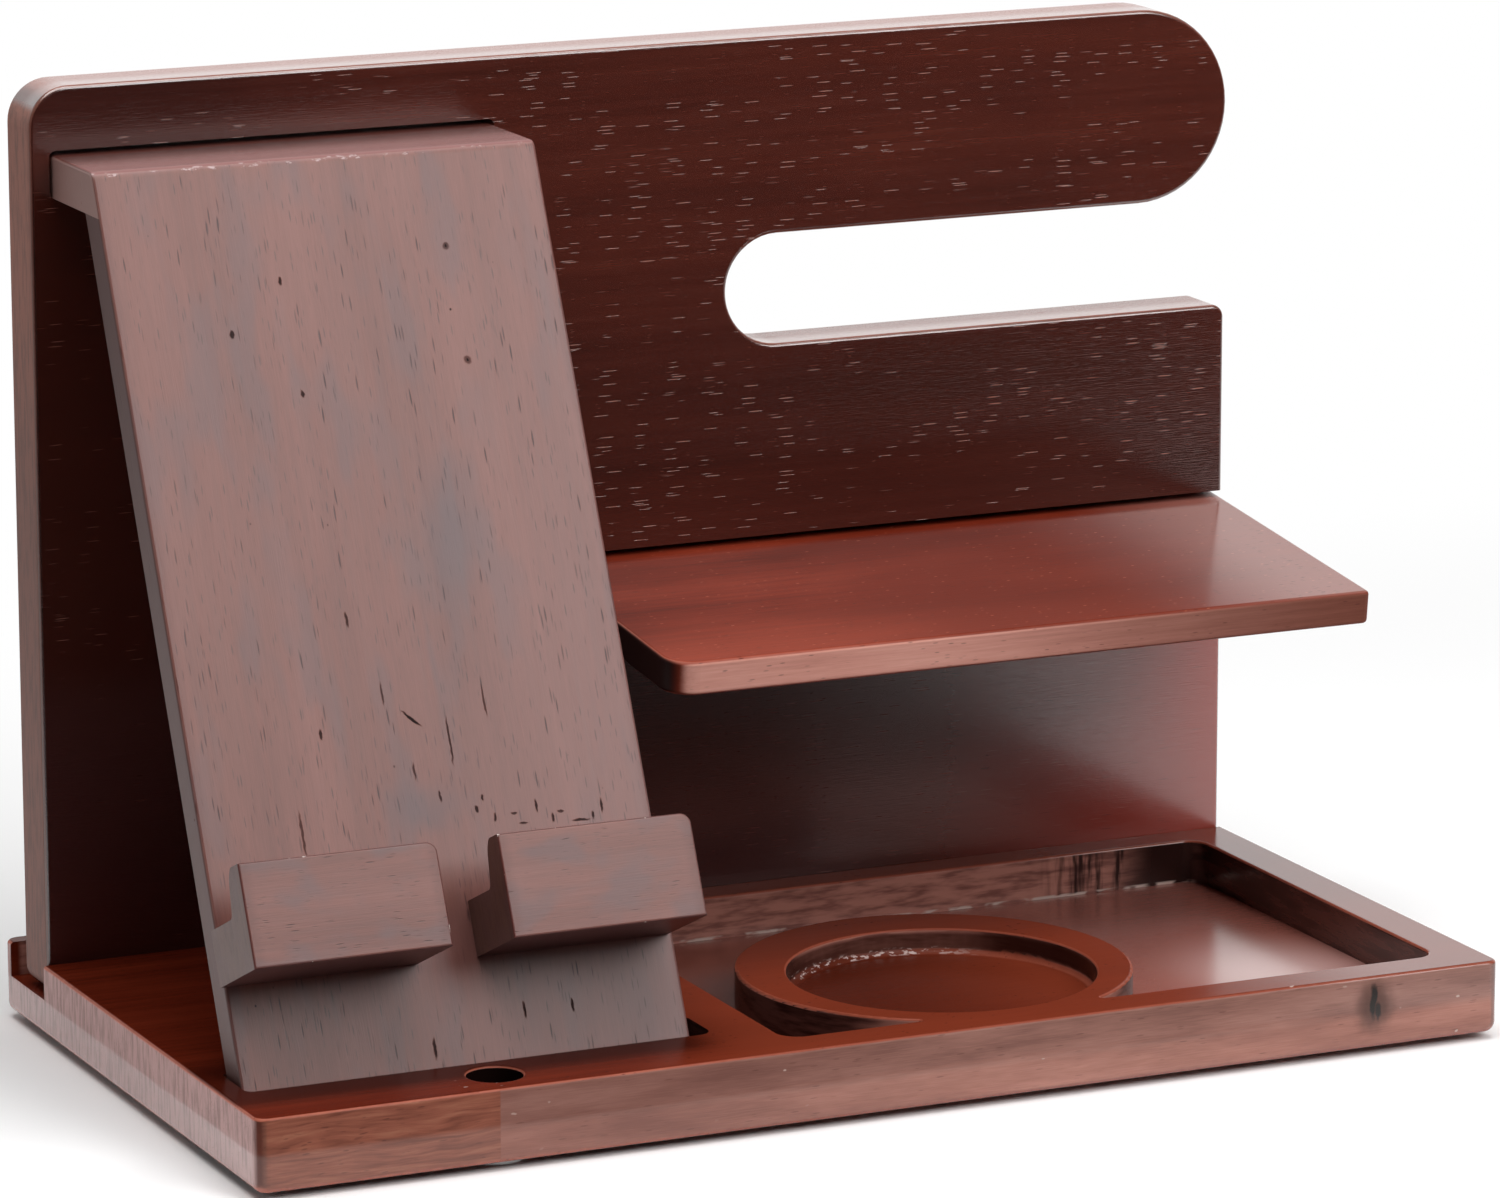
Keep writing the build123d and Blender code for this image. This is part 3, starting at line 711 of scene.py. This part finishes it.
# The stand's tones are partly its own colour and partly a painted veil of the front lamp's reflection.
stand_look = dict(
    face=1, turn=(lean, 0.0, 0.0), rough=0.40, specular=0.5, wear_and_highlight_tint=(0.280, 0.150, 0.130),
    tones=((0.162, 0.057, 0.044), (0.210, 0.076, 0.059), (0.255, 0.098, 0.078)))
plank_marks = [
    (-118.2, 159.0, 0.7, 1.0, 0.9), (-64.7, 175.1, 1.0, 1.0, 0.6), (-64.1, 148.8, 1.1, 1.1, 0.6),
    (-64.7, 175.1, 0.4, 0.5, 1.0), (-64.1, 148.8, 0.4, 0.5, 1.0),
    (-105.1, 170.2, 0.4, 1.2, 0.9), (-104.2, 144.4, 0.5, 1.0, 0.9), (-99.0, -3.0, 0.4, 3.0, 0.9),
    (-76.8, 3.0, 0.35, 2.2, 0.9), (-65.5, 2.8, 0.35, 1.8, 0.9), (-102.8, 93.1, 0.35, 2.2, 0.8),
    (-113.2, 68.4, 0.35, 1.4, 0.9), (-121.1, 46.9, 0.35, 6.0, 0.7), (-80.0, 48.2, 0.5, 1.0, 0.9),
    (-78.2, 50.6, 0.3, 0.9, 0.9), (-76.0, 46.0, 0.35, 1.2, 0.9), (-71.5, 46.5, 0.9, 0.4, 0.8),
    (-69.6, 44.0, 1.2, 0.35, 0.8), (-66.0, 47.6, 0.35, 1.8, 0.9), (-62.5, 44.6, 0.35, 1.2, 0.9),
    (-60.5, 45.8, 0.8, 0.4, 0.8), (-56.0, 43.4, 2.4, 0.35, 0.9), (-53.0, 44.0, 0.35, 1.0, 0.9),
    (-50.6, 46.0, 0.35, 2.0, 0.9), (-83.6, 64.0, 0.3, 6.5, 0.8), (-74.0, 72.0, 0.3, 4.0, 0.7),
    (-88.0, 52.0, 0.3, 1.6, 0.8), (-93.0, 58.0, 0.3, 2.4, 0.7), (-97.5, 76.0, 0.3, 3.0, 0.7),
]
scratch_place, scratch_fall = (-91.6, 0.0, 69.8), math.radians(42.6)
print(len(plank_marks), "marks and one scratch")

# %% [markdown]
# The plank and its cap were cut from one wood, so one function draws it: stripes up the plank, grey
# patches, a painted sheen on the lower right, open dark pores, fine lines and pits, and painted shade
# along its long edges and on its flanks. The plank leans back, and its grain could be bent to that
# by hand. Instead the coordinates are turned by the lean, so that the long axis of every pattern runs
# up the plank.

# %% Wood of the stand
def stand_wood(name):
    """The stand's own wood: stripes up the plank, grey patches, a painted sheen, open pores, fine
    lines, pits and painted shade.
    """
    finish, colour = stained_wood(
        name, 2, band=(170.0, 11.0), end_tint=(0.150, 0.082, 0.070), **stand_look)
    x, y, z = finish.axes(finish.spot)
    patches = finish.noise(finish.spot, (9.0, 9.0, 32.0), 2.0, 0.5)
    colour = finish.tinted(colour, (0.125, 0.080, 0.086), finish.step(patches, 0.50, 0.70), 0.40)
    # Painted sheen: the lower right of the plank is painted paler and greyer.
    painted_sheen_low_right = finish.step(finish.math("SUBTRACT", x, finish.product(z, 0.35)), -130.0, -40.0)
    colour = finish.tinted(colour, (0.255, 0.135, 0.125), painted_sheen_low_right, 0.45)
    colour = pored(
        finish, colour, tint=(0.060, 0.024, 0.023), crowd=(6.0, 6.0, 26.0),
        size=(0.85, 0.85, 9.0), radius=0.28, share=0.95, reach=0.25)
    fine = finish.flecks(finish.spot, (0.7, 0.7, 6.0), 0.30, 0.75)
    colour = finish.tinted(colour, (0.072, 0.031, 0.029), fine, 0.75)
    pits = finish.flecks(finish.spot, (6.0, 6.0, 8.0), 0.05, 0.6)
    rough_where(finish, pits, 0.9)
    colour = finish.tinted(colour, (0.020, 0.007, 0.007), pits, 0.95)
    # Painted shade: a darker line along the plank's long edges.
    left_edge, right_edge = finish.step(x, -141.5, -144.3), finish.step(x, -41.5, -39.2)
    painted_shade_edges = finish.greatest(left_edge, right_edge)
    colour = finish.tinted(colour, (0.110, 0.030, 0.024), painted_shade_edges, 0.45)
    # Painted shade: the flanks that face the ends are painted darker.
    painted_shade_flanks = finish.step(finish.faces[0], 0.6, 0.9)
    return finish, finish.tinted(colour, (0.080, 0.032, 0.028), painted_shade_flanks, 0.8)


print("the stand leans back", round(math.degrees(lean), 1), "degrees")

# %% [markdown]
# The plank adds two grey stains, its listed marks and a shade below the hooks. The scratch could be
# a row of small ovals like the other marks, but a material with too many of them renders black. So
# it is one long oval, on coordinates that are turned to the slope of the scratch.

# %% Plank
finish, colour = stand_wood("plank_wood")
soft_spot = finish.ragged(finish.spot, (14.0, 14.0, 14.0), 5.0)
grey_stains = (((-75.5, 0.0, 111.0), (11.0, 0.0, 24.0)), ((-92.0, 0.0, 50.0), (13.0, 0.0, 8.0)))
for place, size in grey_stains:
    stain = finish.blot(soft_spot, place, size, 0.0)
    colour = finish.tinted(colour, (0.105, 0.072, 0.080), stain, 0.55)
uneven = finish.ragged(finish.spot, (1.6, 1.6, 1.6), 0.4)
dent = 0.0
for across, along, width, height, strength in plank_marks:
    mark = finish.blot(uneven, (across, 0.0, along), (width, 0.0, height), 0.5)
    dent = finish.greatest(dent, finish.product(mark, strength))
scratch_turn = (0.0, -scratch_fall, 0.0)
turned = finish.add("ShaderNodeMapping", Vector=uneven, Rotation=scratch_turn).outputs[0]
scratch_middle = Euler(scratch_turn).to_matrix() @ Vector(scratch_place)
scratch = finish.blot(turned, scratch_middle, (3.2, 0.0, 0.40), 0.5)
dent = finish.greatest(dent, scratch)
dent = finish.product(dent, finish.step(finish.faces[1], 0.5, 0.9))
colour = finish.blend(dent, colour, (0.014, 0.005, 0.005))
rough_where(finish, dent, 1.0)
finish.height = finish.math("SUBTRACT", finish.height, finish.product(dent, 2.0))
below_hooks = finish.blot(soft_spot, (-92.0, 0.0, 21.0), (60.0, 0.0, 10.0), 0.2)
colour = finish.tinted(colour, (0.090, 0.040, 0.046), below_hooks, 0.2)
finished(finish, colour, 0.06, "phone_plank")

# %% [markdown]
# The cap carries on the plank's stripes in front, so the joint hardly shows. Its level top is a
# darker brown red with a painted sheen that makes it paler towards the front, its rim has painted
# glints in places, and its ends are cut ends. A second wood could be mixed for the top, but it is
# enough to lay a ramp of noise, drawn across the cap, over the faces that are level on the dock
# itself.

# %% Cap
finish, colour = stand_wood("cap_wood")
level_faces = finish.facing()
ridges = finish.noise(finish.spot, (50.0, 1.2, 1.2), 3.0, 0.6)
top_tone = finish.ramp(
    ridges, (0.36, (0.055, 0.015, 0.011)), (0.50, (0.085, 0.024, 0.019)),
    (0.64, (0.120, 0.038, 0.030)))
level_y = finish.axes(finish.coords())[1]
# Painted sheen: the top is painted paler towards the front.
painted_sheen_near_front = finish.step(level_y, 49.0, 35.0)
top_tone = finish.tinted(top_tone, (0.330, 0.160, 0.150), painted_sheen_near_front, 0.85)
top = finish.step(level_faces[2], 0.62, 0.93)
colour = finish.blend(top, colour, top_tone)
# Painted highlight: pale glints along the rounded front rim.
shine = finish.noise(finish.spot, (2.5, 1.2, 1.2), 3.0, 0.7)
rim = finish.product(
    finish.step(level_faces[2], 0.50, 0.65), finish.step(level_faces[2], 0.95, 0.85),
    finish.step(shine, 0.57, 0.68), finish.step(level_faces[1], 0.2, 0.35))
colour = finish.tinted(colour, (0.640, 0.500, 0.500), rim, 0.7)
cut_ends = finish.step(level_faces[0], 0.75, 0.93)
colour = finish.blend(cut_ends, colour, (0.335, 0.190, 0.168))
rough_where(finish, top, 0.24)
finished(finish, colour, 0.06, "plank_cap")

# %% [markdown]
# The hooks have their grain across the stand, so their dashes lie flat. Painted shade makes them
# darker towards their ends and on their undersides, and lays a thin dark red line on their rounded
# edges, which also carry a few white flecks. The line could be a strip of mesh, but the edges are
# rounded, so the places that are turned partly away from the front give it.

# %% Phone hooks
hook_ends = (-145.5, -99.9, -85.7, -40.1)
finish, colour = stained_wood(
    "hook_wood", 0, band=(90.0, 8.0), end_tint=(0.150, 0.088, 0.066), **stand_look)
patches = finish.noise(finish.spot, (16.0, 9.0, 9.0), 2.0, 0.5)
colour = finish.tinted(colour, (0.135, 0.084, 0.088), finish.step(patches, 0.46, 0.66), 0.5)
colour = pored(
    finish, colour, tint=(0.060, 0.024, 0.023), crowd=(24.0, 7.0, 7.0), size=(5.0, 0.55, 0.55),
    radius=0.28, share=0.85)
fine = finish.flecks(finish.spot, (2.6, 0.5, 0.5), 0.28, 0.5)
colour = finish.tinted(colour, (0.090, 0.038, 0.036), fine, 0.4)
x = finish.axes(finish.spot)[0]
# Painted shade: the hooks are painted darker near their ends.
from_ends = [finish.math("ABSOLUTE", finish.math("SUBTRACT", x, end)) for end in hook_ends]
painted_shade_near_ends = finish.greatest(*[finish.step(distance, 3.5, 0.0) for distance in from_ends])
colour = finish.tinted(colour, (0.110, 0.032, 0.027), painted_shade_near_ends, 0.45)
# Painted shade: the undersides of the hooks are painted darker.
upward = finish.axes(finish.add("ShaderNodeNewGeometry").outputs["Normal"])[2]
colour = finish.tinted(colour, (0.062, 0.022, 0.021), finish.step(upward, -0.30, -0.75), 0.85)
# Painted shade: a thin dark red line on the rounded edges, with a few white flecks on it.
rim = finish.product(
    finish.step(finish.faces[1], 0.93, 0.78), finish.step(finish.faces[1], 0.25, 0.5))
white_fleck_noise = finish.noise(finish.spot, (2.2, 2.2, 2.2), 3.0, 0.7)
colour = finish.tinted(colour, (0.095, 0.018, 0.014), rim, 0.95)
colour = finish.tinted(colour, (0.700, 0.600, 0.560), rim, finish.step(white_fleck_noise, 0.66, 0.70))
finished(finish, colour, 0.06, "left_phone_hook", "right_phone_hook")

# %% [markdown]
# The dowels are plain beech, left unstained because they are hidden once the dock is together. A
# plain pale colour would do, but the stained wood's own function serves as well, with pale tones and
# fine bands, and shows the grain when the panel is lifted.

# %% Dowels
finish, colour = stained_wood(
    "dowel_wood", 2, 2, tones=((0.42, 0.27, 0.15), (0.52, 0.35, 0.20), (0.60, 0.43, 0.27)),
    end_tint=(0.40, 0.27, 0.16), wear_and_highlight_tint=(0.58, 0.42, 0.27), band=(60.0, 2.0),
    rough=0.55, specular=0.4)
dowels = [f"{piece}_dowel_{side}" for piece in ("panel", "cap") for side in ("left", "right")]
finished(finish, colour, 0.05, *dowels)

# %% [markdown]
# The hook screws are zinc-plated steel with fine scratches. Scratches could be painted on, but
# metal takes its look from what it mirrors. So two close greys are enough for the colour, and fine
# noise in the roughness and the bump breaks up the mirror.

# %% Screws
finish = Pattern("screw_steel")
rub = finish.noise(finish.coords(), (0.25, 0.25, 2.5), 3.0, 0.6)
steel = finish.ramp(rub, (0.3, (0.36, 0.35, 0.33)), (0.7, (0.56, 0.55, 0.52)))
finish.plug(finish.shader.inputs["Base Color"], steel)
finish.plug(finish.shader.inputs["Roughness"], finish.spread(rub, 0.25, 0.50))
finish.shader.inputs["Metallic"].default_value = 1.0
finish.plug(finish.shader.inputs["Normal"], finish.bump(rub, 0.02))
dress(finish, *[f"{side}_hook_screw_{end}" for side in ("left", "right") for end in ("outer", "inner")])

# %% [markdown]
# The feet are soft black rubber, dull, with a faint moulded grain. Plain black would look like a
# hole in the picture, so a small noise moves the colour, the roughness and the bump a little.

# %% Foot pads
finish = Pattern("pad_rubber")
pebble = finish.noise(finish.coords(), (0.6, 0.6, 0.6), 3.0, 0.6)
rubber = finish.ramp(pebble, (0.3, (0.012, 0.012, 0.012)), (0.7, (0.030, 0.029, 0.028)))
finish.plug(finish.shader.inputs["Base Color"], rubber)
finish.plug(finish.shader.inputs["Roughness"], finish.spread(pebble, 0.70, 0.88))
finish.plug(finish.shader.inputs["Normal"], finish.bump(pebble, 0.05))
dress(finish, *[f"foot_pad_{row}_{side}" for row in ("front", "rear") for side in ("left", "right")])

# %% [markdown]
# The dock stands on plain pale paper. Close to the dock the lamps light it, so it keeps the soft
# shadow under the base. Further back it turns into the white background of the photograph, for the
# camera and for whatever mirrors it, and gives no light of its own to the dock. Where the paper ends
# in front and far to the left, the lacquer mirrors the dark studio instead. More lamps could whiten
# the paper, but they would also wash out the wood.

# %% Floor
floor_reach = 12.0
corners = [(x, y, 0.0) for x, y in ((-1, -1), (1, -1), (1, 1), (-1, 1))]
floor_mesh = bpy.data.meshes.new("floor")
floor_mesh.from_pydata((np.array(corners) * floor_reach).tolist(), [], [(0, 1, 2, 3)])
floor = bpy.data.objects.new("floor", floor_mesh)
bpy.context.scene.collection.objects.link(floor)
finish = Pattern("floor_paper")
finish.shader.inputs["Base Color"].default_value = (0.96, 0.96, 0.96, 1.0)
finish.shader.inputs["Roughness"].default_value = 0.9
finish.shader.inputs["Specular IOR Level"].default_value = 0.1
across, depth = finish.axes(finish.add("ShaderNodeTexCoord").outputs["Object"])[:2]
rays = finish.add("ShaderNodeLightPath").outputs
seen = finish.math("ADD", rays["Is Camera Ray"], rays["Is Glossy Ray"])
seen = finish.math("ADD", seen, rays["Is Transmission Ray"], clamp=True)
other_rays = finish.spread(rays["Is Camera Ray"], 1.0, 0.0)
glow_colour = (1.0, 1.0, 1.0, 1.0)
white = finish.add("ShaderNodeEmission", Color=glow_colour, Strength=1.0).outputs[0]
dark = finish.add("ShaderNodeEmission", Color=glow_colour, Strength=front_level).outputs[0]
back_part = finish.product(finish.step(depth, 0.12, 0.45), seen)
paper = finish.shader.outputs[0]
paper = finish.add("ShaderNodeMixShader", i0=back_part, i1=paper, i2=white).outputs[0]
front_dark = finish.greatest(finish.step(depth, -0.245, -0.285), finish.step(across, 0.26, 0.15))
front_dark = finish.product(front_dark, finish.step(depth, -0.11, -0.15))
left_dark = finish.product(finish.step(across, -0.18, -0.45), finish.step(depth, 0.0, 0.2), 0.8)
unlit = finish.product(finish.greatest(front_dark, left_dark), other_rays)
paper = finish.add("ShaderNodeMixShader", i0=unlit, i1=paper, i2=dark).outputs[0]
finish.plug(finish.tree.nodes["Material Output"].inputs["Surface"], paper)
floor.data.materials.append(finish.material)
print("floor", 2 * floor_reach, "m wide")

# %% [markdown]
